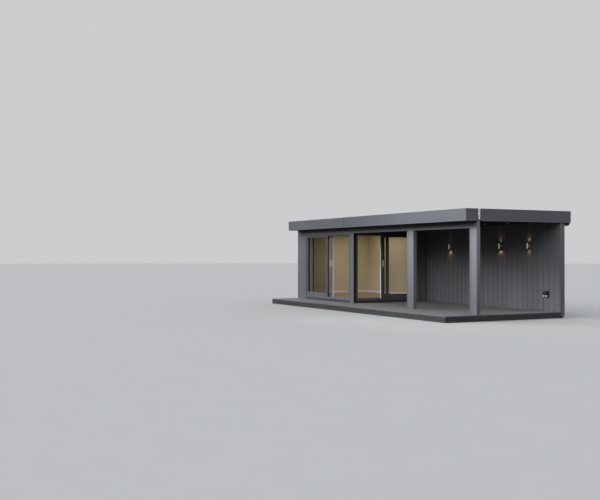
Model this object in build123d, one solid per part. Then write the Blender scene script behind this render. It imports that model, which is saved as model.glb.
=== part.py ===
from build123d import *
import os

# Garden office pod: a closed room on the left, an open veranda on the right, one flat roof
# The frame: X runs right along the front, Y runs to the back, Z is up, in millimetres
# The origin is on the ground, under the middle of the whole footprint

# Overall sizes, with the fascia's level measured from the top of the deck
roof_length = 8890
roof_depth = 2980
deck_height = 150
fascia_level = 2118
fascia_height = 282
deck_reach = 570
gutter_reach = 150

# Overhangs of the roof past the cladding
front_overhang = 320
side_overhang = 25
back_overhang = 30

# Wall build-up and the corner trims on the cladding
wall_thick = 140
cladding_thick = 22
lining_thick = 15
cladding_drop = 40
trim_width = 30
trim_proud = 3

# Floor and deck
floor_rise = 140
sill_rise = 60
board_thick = 25
riser_thick = 22
riser_setback = 4
joist_thick = 45
joist_count = 19

# Plan positions, measured from the left end of the roof
room_length = 3448
front_panel_end = 547
middle_post_right = 6375
left_post_width = 210
middle_post_width = 280
corner_post_width = 250
post_depth = 90
beam_depth = 165
beam_lip = 50
side_set_length = 2060

# Roof build-up
fascia_drop = 12
soffit_thick = 12
roof_fall = 170
membrane_thick = 5
membrane_lip = 25
fascia_thick = 25
fascia_cap_width = 70
fascia_cap_thick = 5
drip_height = 22
cover_thick = 3
corner_cover_width = 40
joint_cover_width = 80

# Open joint in the right fascia, with its pale strip and tab
joint_place = 335
joint_width = 105
joint_strip_width = 50
joint_strip_thick = 10
joint_strip_rise = 30
joint_tab_level = 125
joint_tab_height = 75

# Sliding door sets, with heights measured from the sill up
frame_face = 45
sill_face = 52
sill_slope = 8
outer_track = 12
sash_thick = 50
sash_gap = 14
sash_stile = 90
sash_head = 52
sash_foot = 100
sash_overlap = 25
sash_edge = 2
run_clearance = 5
head_gap = 12
track_height = 6
track_thick = 4
guide_height = 18
glass_thick = 24
glass_bite = 12
bead_slope = 9
fin_thick = 4
fin_reach = 9
stop_length = 30
stop_drop = 30
front_leaf_lead = 180
side_leaf_lead = 140

# Rollers in the sliding sash
wheel_radius = 16
wheel_thick = 10
wheel_groove_width = 6
wheel_groove_depth = 2.5
wheel_space = 4
wheel_inset = 160
wheel_gap = 0.3
axle_radius = 4
axle_seat = 10

# Door handle, with its middle measured from the top of the deck
handle_level = 1105
handle_inset = 62
handle_plate_length = 220
handle_plate_width = 34
handle_plate_thick = 6
handle_grip = 130
handle_standoff = 42
handle_bar_radius = 7
handle_bend = 16
lock_radius = 9
lock_proud = 5
lock_drop = 88

# Wall lamps
lamp_radius = 25
lamp_length = 160
lamp_height = 1582
lamp_reach = 65
lamp_shell = 3
lamp_recess = 20
lamp_arm_radius = 8
lamp_rose_radius = 30
lamp_rose_thick = 10
lamp_first = 1085
lamp_step = 1067
lamp_count = 4

# Outdoor socket and ceiling lights
socket_width = 146
socket_height = 150
socket_depth = 44
socket_corner = 12
socket_lid_thick = 16
socket_lid_inset = 8
socket_level = 403
socket_place = 478
gland_radius = 17
gland_length = 8
gland_step = 62
gland_drop = 45
spot_radius = 42
spot_thick = 6
spot_lens_radius = 32
spot_recess = 2
spot_depth = 2020
spot_places = (980, 1840)

# Gutter and downpipe
gutter_radius = 68
gutter_thick = 3
gutter_bead = 4
bracket_thick = 3
bracket_width = 25
bracket_count = 10
bracket_plate = 80
bracket_first = 240
outlet_length = 45
pipe_radius = 34
pipe_thick = 3
pipe_mouth = 60
pipe_clearance = 40
pipe_inset = 300
clip_height = 30
clip_thick = 5
clip_levels = (450, 1300, 1950)

# Planes worked out from the sizes above
x_left = -roof_length / 2
x_right = roof_length / 2
y_deck = -(deck_reach + roof_depth + gutter_reach) / 2
y_roof = y_deck + deck_reach
y_roof_back = y_roof + roof_depth
y_end = y_roof_back + gutter_reach
z_deck = deck_height
z_sill = z_deck + sill_rise
z_floor = z_deck + floor_rise
z_fascia = z_deck + fascia_level
z_soffit = z_fascia + fascia_drop
z_roof_top = z_fascia + fascia_height
x_wall_left = x_left + side_overhang
x_wall_right = x_right - side_overhang
x_room = x_left + room_length
x_set = x_left + front_panel_end
x_middle_post = x_left + middle_post_right
x_post_left = x_room - left_post_width
y_wall = y_roof + front_overhang
y_wall_back = y_roof_back - back_overhang
y_back_face = y_wall_back - wall_thick
y_back_core = y_back_face + cladding_thick
y_side_set = y_wall + post_depth
y_stub = y_side_set + side_set_length
z_beam = z_soffit - beam_depth
core_thick = wall_thick - cladding_thick - lining_thick

# Heights and depths inside a door set, from its own sill and outer face
set_height = z_beam - z_sill
frame_depth = 2 * (outer_track + sash_thick) + sash_gap
inner_track = outer_track + sash_thick + sash_gap
head_line = set_height - frame_face
leaf_low = sill_face + track_height + run_clearance
leaf_high = head_line - head_gap
glass_low = leaf_low + sash_foot
glass_high = head_line - sash_head


def block(x0, x1, y0, y1, z0, z1):
    corner = (Align.MIN, Align.MIN, Align.MIN)
    return Pos(x0, y0, z0) * Box(x1 - x0, y1 - y0, z1 - z0, align=corner)


def save(name, shape):
    export_step(shape, f"parts/{name}.step")


def section_x(points, x0, x1):
    face = make_face(Polyline(points, close=True))
    return extrude(Plane.YZ.offset(x0) * face, amount=x1 - x0)


def section_y(points, y0, y1):
    face = make_face(Polyline(points, close=True))
    return extrude(Plane.XZ.offset(-y0) * face, amount=y0 - y1)


def bar_x(radius, x0, x1):
    return extrude(Plane.YZ.offset(x0) * Circle(radius), amount=x1 - x0)


# Base and floor, with a low tongue under each door set
def build_floor():
    save("room_base", block(x_wall_left + cladding_thick, x_room, y_wall, y_back_core, 0, z_deck))
    x_inner = x_room - wall_thick
    y_inner = y_wall + wall_thick
    floor = block(x_wall_left + wall_thick, x_inner, y_inner, y_back_core - lining_thick, z_deck, z_floor)
    floor += block(x_set, x_post_left, y_wall + cladding_thick, y_inner, z_deck, z_floor)
    floor += block(x_post_left, x_inner, y_side_set, y_inner, z_deck, z_floor)
    floor += block(x_inner, x_room - cladding_thick, y_side_set, y_stub, z_deck, z_floor)
    floor -= block(x_set, x_post_left, y_wall, y_wall + frame_depth, z_sill, z_beam)
    floor -= block(x_room - frame_depth, x_room, y_side_set, y_stub, z_sill, z_beam)
    save("room_floor", floor)
    front = block(x_set, x_post_left, y_wall, y_wall + cladding_thick, z_deck, z_sill)
    side = block(x_room - cladding_thick, x_room, y_side_set, y_stub, z_deck, z_sill)
    save("door_plinths", Compound(children=[front, side]))


# Deck: joists run front to back, the boards and risers close them in
def build_deck():
    inset = riser_setback + riser_thick
    z_board = z_deck - board_thick
    x0 = x_left + inset
    pitch = (x_right - inset - joist_thick - x0) / (joist_count - 1)
    joists = []
    for i in range(joist_count):
        x = x0 + i * pitch
        y_last = y_back_core if x >= x_room else y_wall
        if i == joist_count - 1:
            y_last = y_back_face
        joists.append(block(x, x + joist_thick, y_deck + inset, y_last, 0, z_board))
    save("deck_joists", Compound(children=joists))
    front = block(x_left, x_right, y_deck, y_wall, z_board, z_deck)
    save("deck_boards", front + block(x_room, x_right, y_wall, y_back_face, z_board, z_deck))
    x0 = x_left + riser_setback
    x1 = x_right - riser_setback
    y0 = y_deck + riser_setback
    risers = block(x0, x1, y0, y0 + riser_thick, 0, z_board)
    risers += block(x0, x0 + riser_thick, y0, y_wall, 0, z_board)
    risers += block(x1 - riser_thick, x1, y0, y_back_face, 0, z_board)
    save("deck_risers", risers)


# A strip of corner trim on a face square to Y or to X, from the corner at x, y
def trim_y(x, y, away, out, z0, z1):
    xs = sorted((x, x + away * trim_width))
    ys = sorted((y, y + out * trim_proud))
    return block(xs[0], xs[1], ys[0], ys[1], z0, z1)


def trim_x(x, y, away, out, z0, z1):
    xs = sorted((x, x + out * trim_proud))
    ys = sorted((y, y + away * trim_width))
    return block(xs[0], xs[1], ys[0], ys[1], z0, z1)


# Walls
def build_walls():
    x_core = x_wall_left + cladding_thick
    x_lining = x_core + core_thick
    y_core = y_wall + cladding_thick
    y_lining = y_core + core_thick
    y_back_lining = y_back_core - lining_thick
    x_end = x_wall_right - cladding_thick
    x_stub = x_room - wall_thick
    save("left_wall", block(x_core, x_lining, y_core, y_back_core, z_deck, z_soffit))
    left = block(x_wall_left, x_core, y_wall, y_wall_back, cladding_drop, z_soffit)
    left += trim_y(x_wall_left - trim_proud, y_wall, 1, -1, z_deck, z_fascia)
    left += trim_x(x_wall_left, y_wall, 1, -1, z_deck, z_fascia)
    left += trim_x(x_wall_left, y_wall_back, -1, -1, cladding_drop, z_fascia)
    save("left_cladding", left)
    save("front_panel", block(x_lining, x_set, y_core, y_lining, z_deck, z_soffit))
    save("front_cladding", block(x_core, x_set, y_wall, y_core, z_deck, z_soffit))
    y_back_clad = y_wall_back - cladding_thick
    save("back_wall", block(x_core, x_end, y_back_core, y_back_clad, 0, z_soffit))
    save("back_cladding", block(x_core, x_end, y_back_clad, y_wall_back, cladding_drop, z_soffit))
    save("veranda_cladding", block(x_room, x_end, y_back_face, y_back_core, z_deck, z_soffit))
    end = block(x_end, x_wall_right, y_back_face, y_wall_back, cladding_drop, z_soffit)
    end += trim_x(x_wall_right, y_back_face, 1, 1, cladding_drop, z_fascia)
    end += trim_x(x_wall_right, y_wall_back, -1, 1, cladding_drop, z_fascia)
    save("wall_end_cladding", end)
    lining = block(x_lining, x_lining + lining_thick, y_lining, y_back_core, z_floor, z_soffit)
    lining += block(x_lining, x_set, y_lining, y_lining + lining_thick, z_floor, z_soffit)
    lining += block(x_lining, x_stub + lining_thick, y_back_lining, y_back_core, z_floor, z_soffit)
    lining += block(x_stub, x_stub + lining_thick, y_stub, y_back_core, z_floor, z_soffit)
    save("room_lining", lining)


def build_partition():
    x_clad = x_room - cladding_thick
    x_inner = x_room - wall_thick
    save("partition_wall", block(x_inner + lining_thick, x_clad, y_stub, y_back_core, z_deck, z_soffit))
    save("partition_cladding", block(x_clad, x_room, y_stub, y_back_face, z_deck, z_soffit))
    save("side_header", block(x_inner, x_room, y_side_set, y_stub, z_beam, z_soffit))
    save("front_header", block(x_set, x_inner, y_side_set, y_wall + wall_thick, z_beam, z_soffit))


# Posts and the beam that they carry
def post(x_end, width):
    return block(x_end - width, x_end, y_wall, y_side_set, z_deck, z_beam)


def trimmed_post(x_end, width):
    shape = post(x_end, width)
    for x, side in ((x_end - width, -1), (x_end, 1)):
        for y, way in ((y_wall, -1), (y_side_set, 1)):
            shape += trim_y(x + side * trim_proud, y, -side, way, z_deck, z_beam)
            shape += trim_x(x, y, -way, side, z_deck, z_beam)
    return shape


def build_posts():
    left = post(x_room, left_post_width)
    left += trim_y(x_post_left, y_wall, 1, -1, z_deck, z_beam)
    left += trim_y(x_room + trim_proud, y_wall, -1, -1, z_deck, z_beam)
    left += trim_x(x_room, y_wall, 1, 1, z_deck, z_beam)
    left += trim_x(x_room, y_side_set, -1, 1, z_deck, z_beam)
    save("left_post", left)
    save("middle_post", trimmed_post(x_middle_post, middle_post_width))
    save("corner_post", trimmed_post(x_wall_right, corner_post_width))
    beam = block(x_set, x_wall_right, y_wall, y_side_set, z_beam, z_soffit)
    bays = ((x_room, x_middle_post - middle_post_width), (x_middle_post, x_wall_right - corner_post_width))
    for x0, x1 in bays:
        beam += block(x0, x1, y_wall - trim_proud, y_wall, z_beam, z_beam + beam_lip)
    save("front_beam", beam)


# Fascia profile: a plate set back by the covers, a drip edge below it and a cap over it
def fascia_plate(out, inward):
    face = out + inward * cover_thick
    back = out + inward * fascia_thick
    cap = out + inward * fascia_cap_width
    z_cap = z_roof_top - fascia_cap_thick
    return [(face, z_fascia), (back, z_fascia), (back, z_cap), (cap, z_cap), (cap, z_roof_top), (face, z_roof_top)]


def drip_edge(out, inward):
    back = out + inward * fascia_thick
    z_drip = z_fascia + drip_height
    return [(out, z_fascia), (back, z_fascia), (back, z_drip), (out, z_drip)]


def side_fascia(out, inward, y0, y1):
    return section_y(fascia_plate(out, inward), y0, y1) + section_y(drip_edge(out, inward), y0, y1)


def front_fascia(x0, x1, x_drip0, x_drip1):
    return section_x(fascia_plate(y_roof, 1), x0, x1) + section_x(drip_edge(y_roof, 1), x_drip0, x_drip1)


# The side fascias start behind the front one, under its cap
def side_fascia_nose(out, inward):
    xs = sorted((out + inward * cover_thick, out + inward * fascia_thick))
    drip = sorted((out, out + inward * fascia_thick))
    y0 = y_roof + fascia_thick
    y1 = y_roof + fascia_cap_width
    nose = block(xs[0], xs[1], y0, y1, z_fascia, z_roof_top - fascia_cap_thick)
    return nose + block(drip[0], drip[1], y0, y1, z_fascia, z_fascia + drip_height)


def corner_cover(out, inward):
    front = sorted((out, out + inward * corner_cover_width))
    side = sorted((out, out + inward * cover_thick))
    z0 = z_fascia + drip_height
    cover = block(front[0], front[1], y_roof, y_roof + cover_thick, z0, z_roof_top)
    return cover + block(side[0], side[1], y_roof, y_roof + corner_cover_width, z0, z_roof_top)


def build_fascias():
    x0 = x_left + cover_thick
    x1 = x_right - cover_thick
    y_cap = y_roof + fascia_cap_width
    y_joint = y_roof + joint_place
    save("front_fascia_left", front_fascia(x0, x_room, x_left, x_room))
    save("front_fascia_right", front_fascia(x_room, x1, x_room, x_right))
    save("left_fascia", side_fascia(x_left, 1, y_cap, y_end) + side_fascia_nose(x_left, 1))
    save("right_fascia_front", side_fascia(x_right, -1, y_cap, y_joint) + side_fascia_nose(x_right, -1))
    save("right_fascia_back", side_fascia(x_right, -1, y_joint + joint_width, y_end))
    half = joint_cover_width / 2
    z_drip = z_fascia + drip_height
    middle = block(x_room - half, x_room + half, y_roof, y_roof + cover_thick, z_drip, z_roof_top)
    save("fascia_covers", Compound(children=[corner_cover(x_left, 1), middle, corner_cover(x_right, -1)]))
    x_seat = x_right - fascia_thick
    y_strip = y_joint + (joint_width - joint_strip_width) / 2
    strip = block(x_seat, x_seat + joint_strip_thick, y_strip, y_strip + joint_strip_width,
                  z_fascia + joint_strip_rise, z_roof_top - fascia_cap_thick)
    z_tab = z_fascia + joint_tab_level
    strip += block(x_seat, x_seat + joint_strip_thick, y_joint, y_strip, z_tab, z_tab + joint_tab_height)
    save("joint_strip", strip)


# Roof panel with its fall to the back, the membrane turned up at the sides and down at the back
def build_roof():
    x0 = x_left + fascia_thick
    x1 = x_right - fascia_thick
    y0 = y_roof + fascia_thick
    y1 = y_roof_back - fascia_thick
    y_lip = y_roof_back + membrane_thick
    z_panel = z_soffit + soffit_thick
    z_front = z_roof_top - fascia_cap_thick
    z_back = z_front - roof_fall
    z_lip = z_back - membrane_lip
    slope = roof_fall / (y1 - y0)
    z_edge = z_front - slope * (y_lip - y0)
    z_front_under = z_front - membrane_thick
    z_back_under = z_back - membrane_thick
    panel = [(y0, z_panel), (y1, z_panel), (y1, z_back_under), (y0, z_front_under)]
    z_edge_under = z_front_under - slope * (y_roof_back - y0)
    skin = [(y0, z_front_under), (y_roof_back, z_edge_under), (y_roof_back, z_lip), (y_lip, z_lip),
            (y_lip, z_edge), (y0, z_front)]
    upstand = [(y0, z_front_under), (y1, z_back_under), (y1, z_front), (y0, z_front)]
    save("roof_panel", section_x(panel, x0, x1))
    membrane = section_x(skin, x0, x1)
    membrane += section_x(upstand, x0, x0 + membrane_thick)
    membrane += section_x(upstand, x1 - membrane_thick, x1)
    save("roof_membrane", membrane)
    board = [(y1, z_fascia), (y_roof_back, z_fascia), (y_roof_back, z_edge_under), (y1, z_back_under)]
    save("back_fascia", section_x(board, x0, x1))
    front = block(x0, x1, y0, y_wall, z_soffit, z_panel)
    save("outer_soffit", front + block(x_room, x1, y_wall, y1, z_soffit, z_panel))
    save("room_ceiling", block(x0, x_room, y_wall, y1, z_soffit, z_panel))


# Sliding door sets: u runs along the set from its fixed end, v inward from the outer face
def track_middles():
    return [v + sash_thick / 2 for v in (outer_track, inner_track)]


def door_frame(length, tail):
    frame = block(0, length, 0, frame_depth, 0, set_height)
    u0 = frame_face
    u1 = length - frame_face
    frame -= block(u0, u1, -1, frame_depth + 1, sill_face, head_line)
    frame -= section_x([(-1, sill_face - sill_slope), (outer_track, sill_face), (-1, sill_face + 1)], u0, u1)
    for middle in track_middles():
        v0 = middle - track_thick / 2
        v1 = middle + track_thick / 2
        frame += block(u0, u1, v0, v1, sill_face, sill_face + track_height)
        frame += block(u0, u1, v0, v1, head_line - guide_height, head_line)
    stop_end = tail - run_clearance
    frame += block(stop_end - stop_length, stop_end, inner_track + run_clearance,
                   inner_track + sash_thick - run_clearance, head_line - stop_drop, head_line)
    return frame


# A welded sash: sloped beads round the glass, a glazing groove, and a slot over the head guide
def sash(u0, u1, v0, z0, z1):
    v1 = v0 + sash_thick
    body = block(u0, u1, v0, v1, z0, z1)
    body -= block(u0 + sash_stile, u1 - sash_stile, v0 - 1, v1 + 1, glass_low, glass_high)
    for end in (0, -1):
        face = body.faces().sort_by(Axis.Y)[end]
        body = body.chamfer(bead_slope, None, face.inner_wires()[0].edges())
        face = body.faces().sort_by(Axis.Y)[end]
        body = body.chamfer(sash_edge, None, face.outer_wire().edges())
    body -= glass_unit(u0, u1, v0)
    slot = track_thick / 2 + run_clearance
    middle = v0 + sash_thick / 2
    z_slot = head_line - guide_height - run_clearance
    return body - block(u0 - 1, u1 + 1, middle - slot, middle + slot, z_slot, z1 + 1)


def glass_unit(u0, u1, v0):
    v = v0 + (sash_thick - glass_thick) / 2
    reach = sash_stile - glass_bite
    return block(u0 + reach, u1 - reach, v, v + glass_thick, glass_low - glass_bite, glass_high + glass_bite)


def meeting_fin(u, v):
    return block(u, u + fin_thick, v, v + fin_reach, glass_low, glass_high)


# The fixed sash sits on the sill, astride its track, and reaches the head
def fixed_sash(fixed_end):
    body = sash(frame_face, fixed_end, outer_track, sill_face, head_line)
    slot = track_thick / 2 + run_clearance
    middle = outer_track + sash_thick / 2
    body -= block(frame_face - 1, fixed_end + 1, middle - slot, middle + slot, sill_face - 1, leaf_low)
    return body + meeting_fin(fixed_end - fin_thick - sash_edge, outer_track + sash_thick)


# A grooved wheel on its axle, which spans the pocket in the bottom rail
def wheel():
    disc = Cylinder(wheel_radius, wheel_thick)
    groove = Cylinder(wheel_radius + 1, wheel_groove_width)
    groove -= Cylinder(wheel_radius - wheel_groove_depth, wheel_groove_width)
    pocket = wheel_thick + wheel_space
    return Rot(90, 0, 0) * (disc - groove + Cylinder(axle_radius, pocket + 2 * axle_seat))


def sliding_sash(tail, lead):
    body = sash(tail, lead, inner_track, leaf_low, leaf_high)
    middle = inner_track + sash_thick / 2
    z = sill_face + track_height + wheel_gap + wheel_radius - wheel_groove_depth
    reach = wheel_radius + wheel_space
    half = (wheel_thick + wheel_space) / 2
    for u in (tail + wheel_inset, lead - wheel_inset):
        body -= block(u - reach, u + reach, middle - half, middle + half, leaf_low - 1, z + reach)
        body += Pos(u, middle, z) * wheel()
    return body + meeting_fin(tail + sash_edge, inner_track - fin_reach)


# A D-shaped pull on its plate with a lock below, drawn flat and then stood on the stile
def pull():
    plate = extrude(SlotOverall(handle_plate_length, handle_plate_width), amount=handle_plate_thick)
    half = handle_grip / 2
    path = FilletPolyline((-half, 0, 0), (-half, 0, handle_standoff), (half, 0, handle_standoff), (half, 0, 0),
                          radius=handle_bend)
    bar = sweep(Plane(origin=path @ 0, z_dir=path % 0) * Circle(handle_bar_radius), path=path)
    lock = Pos(-lock_drop, 0, (handle_plate_thick + lock_proud) / 2)
    return plate + bar + lock * Cylinder(lock_radius, handle_plate_thick + lock_proud)


def handle_pair(u):
    z = handle_level - sill_rise
    outer = Plane(origin=(u, inner_track, z), x_dir=(0, 0, 1), z_dir=(0, -1, 0))
    inner = Plane(origin=(u, inner_track + sash_thick, z), x_dir=(0, 0, 1), z_dir=(0, 1, 0))
    return Compound(children=[plane.location * pull() for plane in (outer, inner)])


def build_door_set(name, length, leaf_lead, place):
    fixed_end = length / 2 + sash_overlap
    lead = fixed_end + leaf_lead
    tail = lead + frame_face - fixed_end
    pieces = {
        "frame": door_frame(length, tail),
        "fixed_sash": fixed_sash(fixed_end),
        "fixed_glass": glass_unit(frame_face, fixed_end, outer_track),
        "leaf_sash": sliding_sash(tail, lead),
        "leaf_glass": glass_unit(tail, lead, inner_track),
        "leaf_handle": handle_pair(lead - handle_inset),
    }
    for node, shape in pieces.items():
        save(f"{name}_{node}", place(shape))
    print(name, "travel", length - frame_face - run_clearance - lead)


def build_doors():
    front = Pos(x_set, y_wall, z_sill)
    build_door_set("front_door", x_post_left - x_set, front_leaf_lead, lambda shape: front * shape)
    side = Pos(x_room, y_stub, z_sill) * Rot(0, 0, 90)
    build_door_set("side_door", side_set_length, side_leaf_lead,
                   lambda shape: side * mirror(shape, about=Plane.YZ))


# Lamps that shine up and down the back wall, each on an arm and a round rose
def wall_lamp():
    body = Cylinder(lamp_radius, lamp_length)
    for end in (-1, 1):
        place = Pos(0, 0, end * (lamp_length - lamp_recess) / 2)
        body -= place * Cylinder(lamp_radius - lamp_shell, lamp_recess)
    lying = Rot(-90, 0, 0)
    base = (Align.CENTER, Align.CENTER, Align.MIN)
    body += lying * Cylinder(lamp_arm_radius, lamp_reach, align=base)
    rose = Pos(0, lamp_reach - lamp_rose_thick, 0) * lying
    return body + rose * Cylinder(lamp_rose_radius, lamp_rose_thick, align=base)


def outdoor_socket():
    box = extrude(RectangleRounded(socket_width, socket_height, socket_corner), amount=socket_depth)
    lid = RectangleRounded(socket_width - 2 * socket_lid_inset, socket_height - 2 * socket_lid_inset, socket_corner)
    box += extrude(Plane.XY.offset(socket_depth) * lid, amount=socket_lid_thick)
    z = socket_depth + socket_lid_thick + gland_length / 2
    for side in (-1, 1):
        box += Pos(side * gland_step / 2, -gland_drop, z) * Cylinder(gland_radius, gland_length)
    return box


def build_fittings():
    lamps = []
    for i in range(lamp_count):
        x = x_right - lamp_first - i * lamp_step
        lamps.append(Pos(x, y_back_face - lamp_reach, z_deck + lamp_height) * wall_lamp())
    save("wall_lamps", Compound(children=lamps))
    seat = Plane(origin=(x_right - socket_place, y_back_face, z_deck + socket_level), x_dir=(1, 0, 0),
                 z_dir=(0, -1, 0))
    save("outdoor_socket", seat.location * outdoor_socket())
    spots = []
    for place in spot_places:
        spot = Cylinder(spot_radius, spot_thick)
        spot -= Pos(0, 0, (spot_recess - spot_thick) / 2) * Cylinder(spot_lens_radius, spot_recess)
        spots.append(Pos(x_right - place, y_roof + spot_depth, z_soffit - spot_thick / 2) * spot)
    save("ceiling_lights", Compound(children=spots))


# Half-round gutter, its brackets and the downpipe
def build_gutter():
    x0 = x_left + fascia_thick
    x1 = x_right - fascia_thick
    y = y_roof_back + bracket_thick + gutter_radius
    x_pipe = x_wall_right - pipe_inset
    inside = bar_x(gutter_radius - gutter_thick, x0 + gutter_thick, x1 - gutter_thick)
    reach = gutter_radius + bracket_thick
    above = block(x0 - 1, x1 + 1, -reach - 1, reach + 1, 0, reach + 1)
    trough = bar_x(gutter_radius, x0, x1) - inside - above
    bead = Pos(0, gutter_radius - gutter_bead, 0) * bar_x(gutter_bead, x0, x1)
    outlet = Pos(x_pipe, 0, -gutter_radius - outlet_length)
    tall = (Align.CENTER, Align.CENTER, Align.MIN)
    spigot = outlet * Cylinder(pipe_radius, gutter_radius + outlet_length, align=tall) - inside - above
    save("gutter", Pos(0, y, z_fascia) * (trough + bead + spigot))
    brackets = []
    pitch = (x1 - x0 - 2 * bracket_first) / (bracket_count - 1)
    for i in range(bracket_count):
        x = x0 + bracket_first + i * pitch - bracket_width / 2
        ring = bar_x(reach, x, x + bracket_width) - bar_x(gutter_radius, x - 1, x + bracket_width + 1) - above
        plate = block(x, x + bracket_width, -reach, -gutter_radius, 0, bracket_plate)
        brackets.append(Pos(0, y, z_fascia) * (ring + plate))
    save("gutter_brackets", Compound(children=brackets))
    z_top = z_fascia - gutter_radius - outlet_length
    pipe = Pos(x_pipe, y, pipe_clearance) * Cylinder(pipe_radius, z_top - pipe_clearance, align=tall)
    pipe -= Pos(x_pipe, y, pipe_clearance) * Cylinder(pipe_radius - pipe_thick, pipe_mouth, align=tall)
    for level in clip_levels:
        pipe += Pos(x_pipe, y, level) * Cylinder(pipe_radius + clip_thick, clip_height)
        pipe += block(x_pipe - pipe_radius / 2, x_pipe + pipe_radius / 2, y_wall_back, y - pipe_radius,
                      level - clip_height / 2, level + clip_height / 2)
    save("downpipe", pipe)


os.makedirs("parts", exist_ok=True)
build_floor()
build_deck()
build_walls()
build_partition()
build_posts()
build_fascias()
build_roof()
build_doors()
build_fittings()
build_gutter()
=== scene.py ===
import math
import random

import bmesh
import bpy
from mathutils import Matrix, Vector


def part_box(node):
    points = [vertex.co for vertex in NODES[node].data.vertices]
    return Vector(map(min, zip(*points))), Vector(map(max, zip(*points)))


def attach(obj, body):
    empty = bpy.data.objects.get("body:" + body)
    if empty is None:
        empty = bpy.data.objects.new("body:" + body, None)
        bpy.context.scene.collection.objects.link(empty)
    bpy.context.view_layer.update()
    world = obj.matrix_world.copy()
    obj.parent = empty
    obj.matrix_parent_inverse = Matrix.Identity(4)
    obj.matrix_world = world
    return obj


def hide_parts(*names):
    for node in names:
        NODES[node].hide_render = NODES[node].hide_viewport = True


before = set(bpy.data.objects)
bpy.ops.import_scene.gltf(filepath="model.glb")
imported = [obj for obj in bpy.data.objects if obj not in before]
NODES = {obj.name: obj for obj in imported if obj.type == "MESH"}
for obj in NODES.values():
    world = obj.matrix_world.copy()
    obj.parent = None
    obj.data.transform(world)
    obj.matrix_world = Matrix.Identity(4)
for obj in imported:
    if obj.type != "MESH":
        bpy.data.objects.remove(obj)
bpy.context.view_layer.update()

FIXED = "building"
LEAF_BODY = {"front_door": "front_leaf", "side_door": "side_leaf"}
SEED = 7

# The camera's place, the way it looks and its lens, as the pod's own lines give them
CAMERA_PLACE = (20.015, -13.450, 1.494)
CAMERA_WAY = (-0.8894, 0.4571, 0.0061)
CAMERA_LENS = 52.2
CAMERA_SENSOR = 36
CAMERA_REACH = 400


def add_object(name, data):
    made = bpy.data.objects.new(name, data)
    bpy.context.scene.collection.objects.link(made)
    return made


def make_camera():
    data = bpy.data.cameras.new("camera")
    data.lens = CAMERA_LENS
    data.sensor_width = CAMERA_SENSOR
    data.clip_end = CAMERA_REACH
    camera = add_object("camera", data)
    camera.location = CAMERA_PLACE
    camera.rotation_mode = "QUATERNION"
    camera.rotation_quaternion = Vector(CAMERA_WAY).to_track_quat("-Z", "Y")
    bpy.context.scene.camera = camera


# Small helpers for node trees
SHADER = "Principled BSDF"

# The Mix node numbers its sockets by what it mixes
MIX_FACTOR = 0
COLOUR_A, COLOUR_B, COLOUR_OUT = 6, 7, 2
NUMBER_A, NUMBER_B, NUMBER_OUT = 2, 3, 0


def node(tree, kind, **values):
    made = tree.nodes.new(kind)
    for key, value in values.items():
        if key in made.inputs:
            made.inputs[key].default_value = value
        else:
            setattr(made, key, value)
    return made


# A socket takes either another node's output or a plain value
def feed(tree, socket, value):
    if hasattr(value, "links"):
        tree.links.new(value, socket)
    else:
        socket.default_value = value


def calculate(tree, operation, a, b):
    made = node(tree, "ShaderNodeMath", operation=operation)
    feed(tree, made.inputs[0], a)
    feed(tree, made.inputs[1], b)
    return made.outputs[0]


# A number that goes from low to high while the source goes from start to end
def between(tree, source, start, end, low, high, way="LINEAR"):
    made = node(tree, "ShaderNodeMapRange", interpolation_type=way)
    for key, value in (("From Min", start), ("From Max", end), ("To Min", low), ("To Max", high)):
        made.inputs[key].default_value = value
    tree.links.new(source, made.inputs["Value"])
    return made.outputs["Result"]


def shade(colour, share):
    return tuple(c * share for c in colour)


def grey(level):
    return (level, level, level)


def blank(name, colour, rough, metallic=0.0):
    made = bpy.data.materials.new(name)
    made.use_nodes = True
    shader = made.node_tree.nodes[SHADER]
    shader.inputs["Base Color"].default_value = (*colour, 1)
    shader.inputs["Roughness"].default_value = rough
    shader.inputs["Metallic"].default_value = metallic
    return made, made.node_tree, shader


def coordinates(tree, stretch):
    place = node(tree, "ShaderNodeTexCoord")
    mapping = node(tree, "ShaderNodeMapping")
    mapping.inputs["Scale"].default_value = stretch
    tree.links.new(place.outputs["Object"], mapping.inputs["Vector"])
    return mapping.outputs["Vector"]


def coordinate(tree, axis):
    place = node(tree, "ShaderNodeTexCoord")
    parts = node(tree, "ShaderNodeSeparateXYZ")
    tree.links.new(place.outputs["Object"], parts.inputs["Vector"])
    return parts.outputs[axis]


def noise(tree, stretch, scale, detail, rough=0.55):
    made = node(tree, "ShaderNodeTexNoise", Scale=scale, Detail=detail, Roughness=rough)
    tree.links.new(coordinates(tree, stretch), made.inputs["Vector"])
    return made.outputs["Fac"]


def ramp(tree, source, low, high, start=0.3, end=0.7):
    made = node(tree, "ShaderNodeValToRGB")
    made.color_ramp.elements[0].position = start
    made.color_ramp.elements[0].color = (*low, 1)
    made.color_ramp.elements[1].position = end
    made.color_ramp.elements[1].color = (*high, 1)
    tree.links.new(source, made.inputs["Fac"])
    return made.outputs["Color"]


def blend_colour(tree, share, a, b, kind="MIX"):
    made = node(tree, "ShaderNodeMix", data_type="RGBA", blend_type=kind)
    feed(tree, made.inputs[MIX_FACTOR], share)
    feed(tree, made.inputs[COLOUR_A], a)
    feed(tree, made.inputs[COLOUR_B], b)
    return made.outputs[COLOUR_OUT]


def add_bump(tree, shader, height, strength, distance):
    made = node(tree, "ShaderNodeBump", Strength=strength, Distance=distance)
    tree.links.new(height, made.inputs["Height"])
    tree.links.new(made.outputs["Normal"], shader.inputs["Normal"])


def rough_from(tree, shader, source, low, high):
    tree.links.new(between(tree, source, 0, 1, low, high), shader.inputs["Roughness"])


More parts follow.
